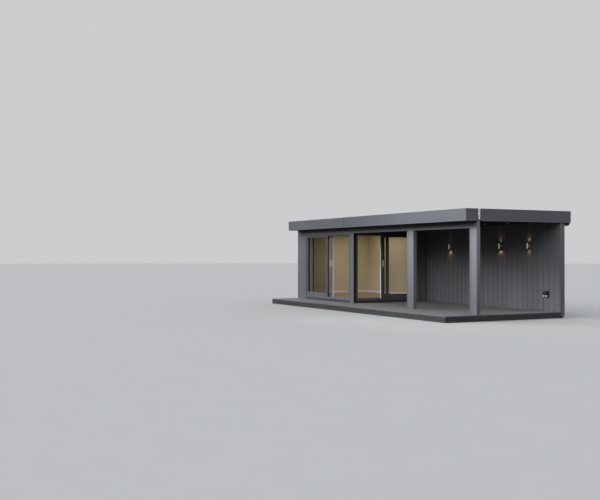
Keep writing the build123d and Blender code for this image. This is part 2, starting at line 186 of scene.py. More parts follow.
# Kinds of material, all from nodes, in the object's own coordinates
ANY_WAY = (1, 1, 1)
UPRIGHT = (18, 18, 1.2)
LENGTHWISE = (1.2, 18, 18)
ALONG_PLANKS = (1.0, 16, 1)
ALONG_HANDLE = (1, 1, 20)
DUST = (0.45, 0.42, 0.37, 1)
CLOUD_SCALE = 1.3
CLOUD_SPREAD = 0.08
ROUGH_SPREAD = 0.08
# Heights over which the painted shade at a wall's foot fades out
SHADE_FOOT_LEVEL, SHADE_HEAD_LEVEL = 0.15, 1.9


# Painted shade: the foot of a wall is painted darker than its head
def painted_foot_shade(tree, tone, low):
    height = between(tree, coordinate(tree, "Z"), SHADE_FOOT_LEVEL, SHADE_HEAD_LEVEL, 0, 1)
    level = ramp(tree, height, grey(low), grey(1), 0.0, 1.0)
    return blend_colour(tree, 1.0, tone, level, "MULTIPLY")


# A painted or moulded surface: cloudy tone, grain along one way, and a difference from board to board
def coated(name, colour, rough, *, scale, spread, bump, grain=ANY_WAY, island=0.0, depth=0.0006,
           metallic=0.0, dust=0.0, foot=0.0, gloss=0.5):
    made, tree, shader = blank(name, colour, rough, metallic)
    shader.inputs["Specular IOR Level"].default_value = gloss
    fine = noise(tree, grain, scale, detail=6, rough=0.6)
    tone = ramp(tree, fine, shade(colour, 1 - spread), shade(colour, 1 + spread))
    clouds = noise(tree, ANY_WAY, CLOUD_SCALE, detail=3)
    cloudy = ramp(tree, clouds, shade(colour, 1 - CLOUD_SPREAD), shade(colour, 1 + CLOUD_SPREAD))
    tone = blend_colour(tree, clouds, tone, cloudy)
    if island:
        per_board = node(tree, "ShaderNodeNewGeometry").outputs["Random Per Island"]
        level = ramp(tree, per_board, grey(1 - island), grey(1 + island), 0.0, 1.0)
        tone = blend_colour(tree, 1.0, tone, level, "MULTIPLY")
    if dust:
        specks = noise(tree, ANY_WAY, 9, detail=8, rough=0.7)
        cover = ramp(tree, specks, grey(0), grey(dust), start=0.5, end=0.8)
        tone = blend_colour(tree, cover, tone, DUST)
    # foot: painted shade, the share of the tone left at the foot of a wall
    if foot:
        tone = painted_foot_shade(tree, tone, foot)
    tree.links.new(tone, shader.inputs["Base Color"])
    rough_from(tree, shader, fine, rough - ROUGH_SPREAD, rough + ROUGH_SPREAD)
    add_bump(tree, shader, fine, bump, depth)
    return made


# Laid planks: staggered lengths of different tone, with grain along them
def planked(name, colour, rough, length, width, joint):
    made, tree, shader = blank(name, colour, rough)
    laid = node(tree, "ShaderNodeTexBrick")
    laid.offset = 0.37
    tree.links.new(coordinates(tree, ANY_WAY), laid.inputs["Vector"])
    for key, value in (("Scale", 1.0), ("Brick Width", length), ("Row Height", width),
                       ("Mortar Size", joint), ("Mortar Smooth", 0.1)):
        laid.inputs[key].default_value = value
    laid.inputs["Color1"].default_value = (*shade(colour, 0.78), 1)
    laid.inputs["Color2"].default_value = (*shade(colour, 1.22), 1)
    laid.inputs["Mortar"].default_value = (*shade(colour, 0.25), 1)
    grain = noise(tree, ALONG_PLANKS, 7, detail=6, rough=0.65)
    streaks = ramp(tree, grain, grey(0.72), grey(1.2))
    tone = blend_colour(tree, 1.0, laid.outputs["Color"], streaks, "MULTIPLY")
    tree.links.new(tone, shader.inputs["Base Color"])
    rough_from(tree, shader, grain, rough - 0.1, rough + 0.1)
    add_bump(tree, shader, grain, 0.15, 0.0004)
    return made


# Window profile: dark foil outside and white inside, changing at a plane across one axis
def two_sided(name, dark, white, axis, white_is, plane):
    made, tree, shader = blank(name, dark, 0.42)
    inside = calculate(tree, white_is, coordinate(tree, axis), plane)
    fine = noise(tree, ANY_WAY, 180, detail=3)
    outer = ramp(tree, fine, shade(dark, 0.92), shade(dark, 1.08))
    inner = ramp(tree, fine, shade(white, 0.97), shade(white, 1.0))
    tree.links.new(blend_colour(tree, inside, outer, inner), shader.inputs["Base Color"])
    rough_from(tree, shader, fine, 0.34, 0.48)
    add_bump(tree, shader, fine, 0.12, 0.0003)
    return made


# A pane as a thin film: mostly see-through, with a mirror share that grows at a slant
def clear_glass(name):
    made, tree, shader = blank(name, (0.90, 0.95, 0.93), 0.0, 1.0)
    slant = node(tree, "ShaderNodeLayerWeight", Blend=0.5)
    steep = calculate(tree, "POWER", slant.outputs["Facing"], 5.0)
    tree.links.new(between(tree, steep, 0, 1, 0.02, 0.95), shader.inputs["Alpha"])
    haze = noise(tree, ANY_WAY, 3, detail=3)
    rough_from(tree, shader, haze, 0.0, 0.02)
    return made


def glowing(name, colour, strength):
    made, tree, shader = blank(name, (0.9, 0.88, 0.82), 0.35)
    shader.inputs["Emission Color"].default_value = (*colour, 1)
    shader.inputs["Emission Strength"].default_value = strength
    fine = noise(tree, ANY_WAY, 120, detail=2)
    rough_from(tree, shader, fine, 0.3, 0.4)
    return made


# Colours that several materials share
CLADDING = (0.140, 0.144, 0.165)
FASCIA = (0.116, 0.124, 0.149)
PROFILE = (0.090, 0.093, 0.108)
FOIL = (0.085, 0.088, 0.102)
WHITE = (0.90, 0.90, 0.88)
# Painted light: the front door set's profile and foil are a lighter copy of the side set's
FRONT_PAINTED_LIGHT = 1.28

# Finishes that several materials share: the grain's way and scale, its spread of tone, and its relief
BOARD = {"scale": 9, "bump": 0.35, "depth": 0.0009}
UPRIGHT_BOARD = {"grain": UPRIGHT, **BOARD}
LONG_BOARD = {"grain": LENGTHWISE, "spread": 0.10, **BOARD}
COMPOSITE = {"grain": LENGTHWISE, "scale": 11, "spread": 0.16, "bump": 0.5, "depth": 0.0012}
TRIM = {"scale": 150, "spread": 0.05, "bump": 0.12}
COAT = {"scale": 170, "spread": 0.05, "bump": 0.15}
MOULDED = {"scale": 160, "spread": 0.08, "bump": 0.12, "depth": 0.0003}

MATS = {
    # The cladding's foot is darkened: painted shade
    "cladding": coated("cladding_boards", CLADDING, 0.55, spread=0.10, island=0.06, foot=0.85,
                       **UPRIGHT_BOARD),
    # Painted light: the free piers take a lighter copy of the cladding, with strong painted shade at the
    # foot
    "post": coated("post_boards", shade(CLADDING, 1.60), 0.50, spread=0.08, island=0.03, foot=0.52,
                   **UPRIGHT_BOARD),
    # Painted light: the beam takes a lighter copy of the cladding
    "beam": coated("beam_boards", shade(CLADDING, 1.35), 0.52, **LONG_BOARD),
    # The trim's foot is darkened: painted shade
    "trim": coated("corner_trim", shade(CLADDING, 1.08), 0.42, foot=0.85, **TRIM),
    # Painted light: a lighter copy of the trim for the free piers, with painted shade at the foot
    "post_trim": coated("post_trim", shade(CLADDING, 1.52), 0.42, foot=0.52, **TRIM),
    "fascia": coated("fascia_coat", FASCIA, 0.40, **COAT),
    "cover": coated("fascia_cover_coat", shade(FASCIA, 0.70), 0.45, **COAT),
    # Painted shade: the door plinths take a much darker copy of the cladding
    "plinth": coated("plinth_boards", shade(CLADDING, 0.25), 0.55, **LONG_BOARD),
    # Painted shade: a near-black copy of the profile colour on the room pier's side by the side door
    "reveal": coated("dark_reveal", shade(PROFILE, 0.18), 0.6, **MOULDED),
    # Painted shade: the side header takes a darker copy of the cladding
    "header": coated("header_boards", shade(CLADDING, 0.35), 0.55, **LONG_BOARD),
    "deck": coated("deck_composite", (0.127, 0.128, 0.136), 0.66, island=0.08, dust=0.2, **COMPOSITE),
    # Painted shade: the risers take a much darker copy of the deck composite
    "riser": coated("riser_composite", (0.029, 0.030, 0.033), 0.66, island=0.05, dust=0.1, **COMPOSITE),
    "structure": coated("treated_timber", (0.15, 0.125, 0.09), 0.75, grain=LENGTHWISE, scale=9, spread=0.2,
                        island=0.05, bump=0.4),
    "core": coated("wrapped_core", (0.030, 0.030, 0.033), 0.8, scale=40, spread=0.2, bump=0.3),
    "lining": coated("wall_paint", (0.58, 0.52, 0.38), 0.85, scale=60, spread=0.03, bump=0.15),
    "ceiling": coated("ceiling_paint", (0.72, 0.70, 0.64), 0.85, scale=60, spread=0.02, bump=0.1),
    "floor": planked("floor_laminate", (0.24, 0.16, 0.10), 0.45, length=1.28, width=0.19, joint=0.0015),
    "skirting": coated("skirting_paint", (0.74, 0.73, 0.70), 0.45, scale=90, spread=0.02, bump=0.1),
    # Painted shade: the soffit boards are near black, darker than their paint, for the shade under the roof
    "soffit": coated("soffit_boards", (0.006, 0.006, 0.0065), 0.75, grain=LENGTHWISE, scale=10, spread=0.1,
                     island=0.08, bump=0.3, gloss=0.15),
    "membrane": coated("roof_membrane", (0.055, 0.056, 0.060), 0.80, scale=24, spread=0.2, bump=0.5,
                       depth=0.002, dust=0.3),
    "pale": coated("pale_strip", (0.88, 0.88, 0.87), 0.5, scale=90, spread=0.04, bump=0.15),
    "socket": coated("socket_shell", (0.014, 0.014, 0.016), 0.35, scale=220, spread=0.1, bump=0.2,
                     depth=0.0003),
    "knob": coated("socket_knob", (0.84, 0.83, 0.81), 0.4, scale=160, spread=0.03, bump=0.1,
                   depth=0.0002),
    "rainwater": coated("rainwater_plastic", (0.018, 0.018, 0.020), 0.30, scale=120, spread=0.08,
                        bump=0.1, depth=0.0003),
    "rubber": coated("gasket_rubber", (0.010, 0.010, 0.011), 0.6, scale=200, spread=0.1, bump=0.2,
                     depth=0.0003),
    "steel": coated("polished_steel", (0.86, 0.85, 0.83), 0.42, grain=ALONG_HANDLE, scale=60, spread=0.04,
                    bump=0.05, depth=0.0001, metallic=0.75),
    "screw": coated("screw_heads", (0.24, 0.24, 0.26), 0.35, scale=200, spread=0.08, bump=0.1,
                    depth=0.0001, metallic=0.8),
    "spacer": coated("spacer_bar", (0.020, 0.020, 0.022), 0.5, scale=150, spread=0.1, bump=0.1,
                     depth=0.0002),
    "white": coated("white_profile", WHITE, 0.35, scale=150, spread=0.02, bump=0.1, depth=0.0002),
    "side_profile": coated("side_profile", PROFILE, 0.38, **MOULDED),
    # Painted light: the front set's profile, a lighter copy of the side set's
    "front_profile": coated("front_profile", shade(PROFILE, FRONT_PAINTED_LIGHT), 0.38, **MOULDED),
    "glass": clear_glass("window_glass"),
    # Painted highlight: the lamp tubes glow faintly to stand in for their bright side
    "opal": glowing("lamp_opal", (1.0, 0.84, 0.62), 0.16),
    # Painted glint: the pivot pins glow, standing in for a bright spot on them
    "pin": glowing("lamp_pin", (1.0, 0.86, 0.66), 0.45),
    "lens": glowing("lamp_lens", (1.0, 0.66, 0.34), 5.0),
    "spot_lens": glowing("spot_lens", (1.0, 0.88, 0.70), 0.25),
}


# Quads between two closed rows of n points, which start at a and at b
def band(a, b, n):
    return [(a + i, a + (i + 1) % n, b + (i + 1) % n, b + i) for i in range(n)]


# Meshes are gathered as separate closed forms and then made into one object
class Form:
    def __init__(self):
        self.verts = []
        self.faces = []
        self.slots = []

    def add(self, verts, faces, slots):
        base = len(self.verts)
        self.verts += verts
        self.faces += [tuple(base + i for i in face) for face in faces]
        self.slots += slots

    # A section of (u, v) points drawn out from w0 to w1
    def prism(self, section, w0, w1, place, slot=0, side_slots=None):
        n = len(section)
        verts = [place(u, v, w) for w in (w0, w1) for u, v in section]
        ends = [tuple(reversed(range(n))), tuple(range(n, 2 * n))]
        self.add(verts, ends + band(0, n, n), [slot, slot] + (side_slots or [slot] * n))

    # A block with its long edges and ends eased
    def bar(self, low, high, place, ease, slot=0):
        (u0, v0, w0), (u1, v1, w1) = low, high
        e = min(ease, (u1 - u0) / 3, (v1 - v0) / 3, (w1 - w0) / 3)
        rings = []
        for w, inset in ((w0, e), (w0 + e, 0), (w1 - e, 0), (w1, e)):
            a, b, c, d = u0 + inset, u1 - inset, v0 + inset, v1 - inset
            k = e - inset
            rings.append([(a + k, c, w), (b - k, c, w), (b, c + k, w), (b, d - k, w), (b - k, d, w),
                          (a + k, d, w), (a, d - k, w), (a, c + k, w)])
        n = len(rings[0])
        last = n * (len(rings) - 1)
        verts = [place(*point) for ring in rings for point in ring]
        faces = [tuple(reversed(range(n))), tuple(range(last, last + n))]
        for start in range(0, last, n):
            faces += band(start, start + n, n)
        self.add(verts, faces, [slot] * len(faces))

    # A mitred ring. Each section point is (side, offset, v): side "o" is measured inward from the outer
    # rectangle, and "i" outward from the inner one
    def ring(self, inner, outer, section, place, slots):
        n = len(section)
        left, right, foot, head = range(4)
        verts = []
        for across, up in ((left, foot), (right, foot), (right, head), (left, head)):
            turn_u = 1 if across == left else -1
            turn_w = 1 if up == foot else -1
            for side, offset, v in section:
                if side == "o":
                    verts.append(place(outer[across] + turn_u * offset, v, outer[up] + turn_w * offset))
                else:
                    verts.append(place(inner[across] - turn_u * offset, v, inner[up] - turn_w * offset))
        faces = []
        for corner in range(4):
            faces += band(corner * n, (corner + 1) % 4 * n, n)
        self.add(verts, faces, list(slots) * 4)

    # A profile of (radius, height) points turned about an axis; closed where the radius is nought
    def turned(self, profile, place, sides, slot=0, slots=None):
        verts, rows = [], []
        for radius, h in profile:
            count = sides if radius else 1
            rows.append(range(len(verts), len(verts) + count))
            for i in range(count):
                angle = 2 * math.pi * i / sides
                verts.append(place(radius * math.cos(angle), radius * math.sin(angle), h))
        faces, marks = [], []
        for k, (lower, upper) in enumerate(zip(rows, rows[1:])):
            for i in range(sides):
                j = (i + 1) % sides
                if len(lower) == 1:
                    faces.append((lower[0], upper[j], upper[i]))
                elif len(upper) == 1:
                    faces.append((lower[i], lower[j], upper[0]))
                else:
                    faces.append((lower[i], lower[j], upper[j], upper[i]))
                marks.append(slots[k] if slots else slot)
        self.add(verts, faces, marks)

    def make(self, name, body, mats, smooth=None, replaces=()):
        mesh = bpy.data.meshes.new(name)
        mesh.from_pydata(self.verts, [], self.faces)
        mesh.polygons.foreach_set("material_index", self.slots)
        for key in mats:
            mesh.materials.append(MATS[key])
        work = bmesh.new()
        work.from_mesh(mesh)
        bmesh.ops.recalc_face_normals(work, faces=work.faces)
        work.to_mesh(mesh)
        work.free()
        if smooth:
            mesh.shade_smooth()
            mesh.set_sharp_from_angle(angle=math.radians(smooth))
        piece = add_object(name, mesh)
        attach(piece, body)
        if replaces:
            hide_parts(*replaces)


# Ways to lay (u, v, w) in the frame: u across, v outward, w along
def facing_front(y):
    return lambda u, v, w: (u, y - v, w)


def facing_back(y):
    return lambda u, v, w: (u, y + v, w)


def facing_right(x):
    return lambda u, v, w: (x + v, u, w)


def facing_left(x):
    return lambda u, v, w: (x - v, u, w)


def lying_x(z):
    return lambda u, v, w: (w, u, z + v)


# Cladding: the width that a board covers, one joint's place on the long walls, and the groove at a joint
COVER = 0.1887
FIRST_JOINT = 1.779
FRONT_COVER = 0.1667
END_COVER = 0.07
NARROWEST = 0.02
GROOVE_WIDE = 0.009
GROOVE_DEEP = 0.014
BOARD_EASE = 0.003

# Corner trims, which stand proud of the boards
TRIM_WIDE = 0.030
TRIM_PROUD = 0.003
TRIM_EASE = 0.001

# The one board joint in the front of a free pier
PIER_JOINT = 0.061
PIER_JOINT_WIDE = 0.005
PIER_JOINT_DEEP = 0.007


def section_of_board(u0, u1, thick, gap, groove, ease):
    return [(u0, 0), (u1, 0), (u1, thick - groove), (u1 - gap, thick - groove), (u1 - gap, thick - ease),
            (u1 - gap - ease, thick), (u0 + ease, thick), (u0, thick - ease)]


# Upright boards over a slab, with joints at the same places as in the photograph
def board_slab(form, u0, u1, w0, w1, thick, place, cover, first):
    k = math.floor((u0 - first) / cover) + 1
    edges = [u0]
    while first + k * cover < u1 - NARROWEST:
        if first + k * cover > u0 + NARROWEST:
            edges.append(first + k * cover)
        k += 1
    edges.append(u1)
    for a, b in zip(edges, edges[1:]):
        form.prism(section_of_board(a, b, thick, GROOVE_WIDE, GROOVE_DEEP, BOARD_EASE), w0, w1, place)


def clad_wall(name, title, facing, cover, first=None):
    low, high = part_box(name)
    if facing == facing_right:
        u0, u1, thick, plane = low.y, high.y, high.x - low.x, low.x
    else:
        u0, u1, thick = low.x, high.x, high.y - low.y
        plane = high.y if facing == facing_front else low.y
    form = Form()
    board_slab(form, u0, u1, low.z, high.z, thick, facing(plane), cover, u0 if first is None else first)
    form.make(title, FIXED, ["cladding"], replaces=[name])


def clad_walls():
    clad_wall("veranda_cladding", "veranda_boards", facing_front, COVER, FIRST_JOINT)
    clad_wall("back_cladding", "back_boards", facing_back, COVER, FIRST_JOINT)
    clad_wall("front_cladding", "front_boards", facing_front, FRONT_COVER)
    clad_wall("partition_cladding", "partition_boards", facing_right, COVER)


# The left wall's boards run from the front corner to the back one, with a trim on each corner
def left_end():
    low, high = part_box("left_cladding")
    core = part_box("left_wall")[0]
    y0, y1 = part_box("front_cladding")[0].y, high.y
    z_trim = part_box("left_fascia")[0].z
    thick = core.x - (low.x + TRIM_PROUD)
    form = Form()
    board_slab(form, y0, y1, low.z, high.z, thick, facing_left(core.x), COVER, y0)
    side = facing_left(core.x - thick)
    form.bar((y0, 0, core.z), (y0 + TRIM_WIDE, TRIM_PROUD, z_trim), side, TRIM_EASE, 1)
    form.bar((y1 - TRIM_WIDE, 0, low.z), (y1, TRIM_PROUD, z_trim), side, TRIM_EASE, 1)
    form.bar((low.x, 0, core.z), (low.x + TRIM_PROUD + TRIM_WIDE, TRIM_PROUD, z_trim), facing_front(y0),
             TRIM_EASE, 1)
    form.make("left_boards", FIXED, ["cladding", "trim"], replaces=["left_cladding"])


# The clad end of the back wall, narrow boards between two corner trims
def wall_end():
    low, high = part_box("wall_end_cladding")
    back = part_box("veranda_cladding")[1]
    z_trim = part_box("left_fascia")[0].z
    thick = high.x - TRIM_PROUD - back.x
    form = Form()
    board_slab(form, low.y, high.y, low.z, high.z, thick, facing_right(back.x), END_COVER, low.y)
    side = facing_right(back.x + thick)
    for y in (low.y, high.y - TRIM_WIDE):
        form.bar((y, 0, low.z), (y + TRIM_WIDE, TRIM_PROUD, z_trim), side, TRIM_EASE, 1)
    form.make("wall_end_boards", FIXED, ["cladding", "trim"], replaces=["wall_end_cladding"])


# A pier in plan: boards with corner trims standing proud. A free pier has four trims and one board joint in
# its front. The other one ends the room, and its right side, by the side door, is painted shade: near black
def pier(name, title, mats, free):
    low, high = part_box(name)
    board, trim, reveal = 0, 1, 2
    # The room's pier is painted near black on its right side: painted shade
    side_board, side_trim = (board, trim) if free else (reveal, reveal)
    proud = TRIM_PROUD if free else 0
    x0, x1 = low.x + proud, high.x - TRIM_PROUD
    y0, y1 = low.y + TRIM_PROUD, high.y - proud
    points = [(low.x, high.y, trim if free else board)]
    if free:
        points += [(low.x, y1 - TRIM_WIDE, trim), (x0, y1 - TRIM_WIDE, board),
                   (x0, y0 + TRIM_WIDE, trim), (low.x, y0 + TRIM_WIDE, trim)]
    points += [(low.x, low.y, trim), (x0 + TRIM_WIDE, low.y, trim), (x0 + TRIM_WIDE, y0, board)]
    if free:
        joint, joint_end = x0 + PIER_JOINT, x0 + PIER_JOINT + PIER_JOINT_WIDE
        points += [(joint, y0, board), (joint, y0 + PIER_JOINT_DEEP, board),
                   (joint_end, y0 + PIER_JOINT_DEEP, board), (joint_end, y0, board)]
    points += [(x1 - TRIM_WIDE, y0, trim), (x1 - TRIM_WIDE, low.y, trim),
               (high.x, low.y, side_trim), (high.x, y0 + TRIM_WIDE, side_trim),
               (x1, y0 + TRIM_WIDE, side_board), (x1, y1 - TRIM_WIDE, side_trim),
               (high.x, y1 - TRIM_WIDE, side_trim), (high.x, high.y, trim if free else board)]
    if free:
        points += [(x1 - TRIM_WIDE, high.y, trim), (x1 - TRIM_WIDE, y1, board),
                   (x0 + TRIM_WIDE, y1, trim), (x0 + TRIM_WIDE, high.y, trim)]
    section = [(x, y) for x, y, mark in points]
    marks = [mark for x, y, mark in points]
    form = Form()
    form.prism(section, low.z, high.z, lambda u, v, w: (u, v, w), side_slots=marks)
    form.make(title, FIXED, mats, replaces=[name])


def piers():
    pier("left_post", "left_pier", ("cladding", "trim", "reveal"), free=False)
    # The free piers take the lighter copies of the cladding and trim: painted light
    pier("middle_post", "middle_pier", ("post", "post_trim"), free=True)
    pier("corner_post", "corner_pier", ("post", "post_trim"), free=True)


# The CAD shape with its sharp edges eased, as the folded metal and cut boards have them
EDGE_EASE = 0.0015
FRAME_EASE = 0.001
MERGE_DISTANCE = 1e-5
FLAT_ANGLE = math.radians(1)
SHARP_ANGLE = math.radians(35)


def eased(name, materials, width=EDGE_EASE):
    mesh = bpy.data.meshes.new(f"{name}_eased")
    work = bmesh.new()
    work.from_mesh(NODES[name].data)
    bmesh.ops.remove_doubles(work, verts=work.verts, dist=MERGE_DISTANCE)
    bmesh.ops.dissolve_limit(work, angle_limit=FLAT_ANGLE, verts=work.verts, edges=work.edges)
    edges = [e for e in work.edges if len(e.link_faces) == 2 and e.calc_face_angle(0) > SHARP_ANGLE]
    bmesh.ops.bevel(work, geom=edges, offset=width, segments=1, profile=0.5, affect="EDGES",
                    clamp_overlap=True)
    bmesh.ops.recalc_face_normals(work, faces=work.faces)
    work.to_mesh(mesh)
    work.free()
    for material in materials:
        mesh.materials.append(material)
    for face in mesh.polygons:
        face.material_index = 0
    piece = add_object(f"{name}_eased", mesh)
    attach(piece, FIXED)
    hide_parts(name)
    return piece


# Boards of the soffit, two under the eaves and the rest over the veranda
EAVES_BOARDS = 2
VERANDA_BOARDS = 18
SOFFIT_GAP = 0.006
SOFFIT_GROOVE = 0.007


def soffit():
    low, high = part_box("outer_soffit")
    beam_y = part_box("room_ceiling")[0].y
    room_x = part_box("veranda_cladding")[0].x
    thick = high.z - low.z

    def under(u, v, w):
        return (w, u, high.z - v)

    form = Form()
    parts = ((low.y, beam_y, EAVES_BOARDS, low.x), (beam_y, high.y, VERANDA_BOARDS, room_x))
    for y0, y1, count, x0 in parts:
        step = (y1 - y0) / count
        for i in range(count):
            section = section_of_board(y0 + i * step, y0 + (i + 1) * step, thick, SOFFIT_GAP,
                                       SOFFIT_GROOVE, BOARD_EASE / 2)
            form.prism(section, x0, high.x, under)
    form.make("soffit_boards_laid", FIXED, ["soffit"], replaces=["outer_soffit"])


# Welded laps of the roof membrane, down the fall of the roof
ROOF_FALL = 0.170
LAP_COUNT = 8
LAP_FIRST = 0.62
LAP_STEP = 1.08
LAP_WIDE = 0.060
LAP_THICK = 0.0015
LAP_SUNK = 0.001
LAP_FRONT_GAP = 0.060
LAP_BACK_GAP = 0.015


def membrane_laps():
    low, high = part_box("roof_membrane")
    y_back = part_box("roof_panel")[1].y
    fall = -ROOF_FALL / (y_back - low.y)

    def laid(u, v, w):
        return (u, w, high.z + fall * (w - low.y) + v)

    form = Form()
    for i in range(LAP_COUNT):
        x = low.x + LAP_FIRST + i * LAP_STEP
        section = [(x, -LAP_SUNK), (x + LAP_WIDE, -LAP_SUNK), (x + LAP_WIDE - LAP_THICK, LAP_THICK),
                   (x + LAP_THICK, LAP_THICK)]
        form.prism(section, low.y + LAP_FRONT_GAP, y_back - LAP_BACK_GAP, laid)
    form.make("membrane_laps", FIXED, ["membrane"])


# Sleeves where the gutter's lengths meet, each with a clip on its front and back edge
SLEEVE_PLACES = (-1.86, 1.86)
SLEEVE_HALF = 0.035
SLEEVE_OUT = 0.0028
SLEEVE_IN = 0.001
SLEEVE_STEPS = 24
CLIP_HALF = 0.030
CLIP_THICK = 0.0015
CLIP_LOW, CLIP_HIGH = -0.014, 0.0035
CLIP_HOOK = 0.0045
CLIP_EASE = 0.001


def gutter_sleeves():
    low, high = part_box("gutter")
    middle, radius = (low.y + high.y) / 2, (high.y - low.y) / 2
    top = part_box("back_fascia")[0].z
    arc = [math.pi + math.pi * i / SLEEVE_STEPS for i in range(SLEEVE_STEPS + 1)]
    big, small = radius + SLEEVE_OUT, radius - SLEEVE_IN
    outer = [(middle + big * math.cos(a), big * math.sin(a)) for a in arc]
    inner = [(middle + small * math.cos(a), small * math.sin(a)) for a in reversed(arc)]
    form = Form()
    for x in SLEEVE_PLACES:
        form.prism(outer + inner, x - SLEEVE_HALF, x + SLEEVE_HALF, lying_x(top))
        for y, hook in ((middle - small, 0), (middle + small, CLIP_HOOK)):
            form.bar((y - CLIP_THICK, CLIP_LOW, x - CLIP_HALF),
                     (y + hook + CLIP_THICK, CLIP_HIGH, x + CLIP_HALF), lying_x(top), CLIP_EASE)
    form.make("gutter_sleeves", FIXED, ["rainwater"])


# Skirting board round the room, with a moulded top
SKIRTING = [(0, 0), (0.014, 0), (0.014, 0.052), (0.011, 0.060), (0.006, 0.066), (0.004, 0.072), (0, 0.072)]


def skirting():
    low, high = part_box("room_lining")
    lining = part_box("room_floor")[0].x - low.x
    left, back, right, front = low.x + lining, high.y - lining, high.x - lining, low.y + lining
    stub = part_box("partition_wall")[0].y
    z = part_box("room_floor")[1].z
    form = Form()
    form.prism(SKIRTING, front, back, lambda u, v, w: (left + u, w, z + v))
    form.prism(SKIRTING, left, right, lambda u, v, w: (w, back - u, z + v))
    form.prism(SKIRTING, stub, back, lambda u, v, w: (right - u, w, z + v))
    form.make("skirting_boards", FIXED, ["skirting"])


# Deck boards along the front, in staggered lengths, with rounded edges and open joints
FRONT_ROWS = 6
DECK_GAP = 0.005
DECK_END_GAP = 0.003
DECK_EASE = 0.003
DECK_LENGTH = 3.6
DECK_SHORTEST = 0.6
DECK_CUT_LEAST, DECK_CUT_SPREAD = 0.98, 0.04
ROW_MARGIN = 0.02
WALL_MARGIN = 0.01


def deck():
    low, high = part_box("deck_boards")
    wall_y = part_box("front_cladding")[0].y
    room_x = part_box("partition_cladding")[1].x
    thick = high.z - low.z
    pitch = (wall_y - low.y) / FRONT_ROWS
    place = lying_x(low.z)
    draw = random.Random(SEED)
    form = Form()
    y = low.y
    row = 0
    while y < high.y - ROW_MARGIN:
        x0 = low.x if y < wall_y - WALL_MARGIN else room_x
        y1 = min(y + pitch - DECK_GAP, high.y)
        cuts = [x0]
        first = DECK_LENGTH / 2 if row % 2 else DECK_LENGTH
        x = x0 + first * (DECK_CUT_LEAST + DECK_CUT_SPREAD * draw.random())
        while x < high.x - DECK_SHORTEST:
            cuts.append(x)
            x += DECK_LENGTH
        cuts.append(high.x)
        for a, b in zip(cuts, cuts[1:]):
            end = 0.0 if b == high.x else DECK_END_GAP
            form.bar((y, 0, a), (y1, thick, b - end), place, DECK_EASE)
        y += pitch
        row += 1
    form.make("deck_boards_laid", FIXED, ["deck"], replaces=["deck_boards"])


# Sashes: the profile's depth, how far its foil laps round the edge, the bead's points as (out from the
# inner line, deep from the face), and the seal, panes and spacer that it holds
SASH_DEEP = 0.050
SASH_EASE = 0.003
FOIL_EDGE = 0.006
BEAD = [(0.020, 0), (0.019, 0.002), (0.017, 0.001), (0.009, 0.003)]
SEAL = 0.002
SEAL_IN = 0.003
GLASS_BITE = 0.012
LOCK_STILE = 0.040
PANE = 0.004
PANE_EASE = 0.0008
PANE_HELD = 0.008
SPACER_SHOWS = 0.006

# Drain caps in the foot of a door frame
DRAIN_SHARES = (0.12, 0.5, 0.88)
DRAIN_LEVEL = 0.020
DRAIN_HALF = 0.020
DRAIN_HIGH = 0.010
DRAIN_PROUD = 0.0025
DRAIN_SUNK = 0.001
DRAIN_EASE = 0.001


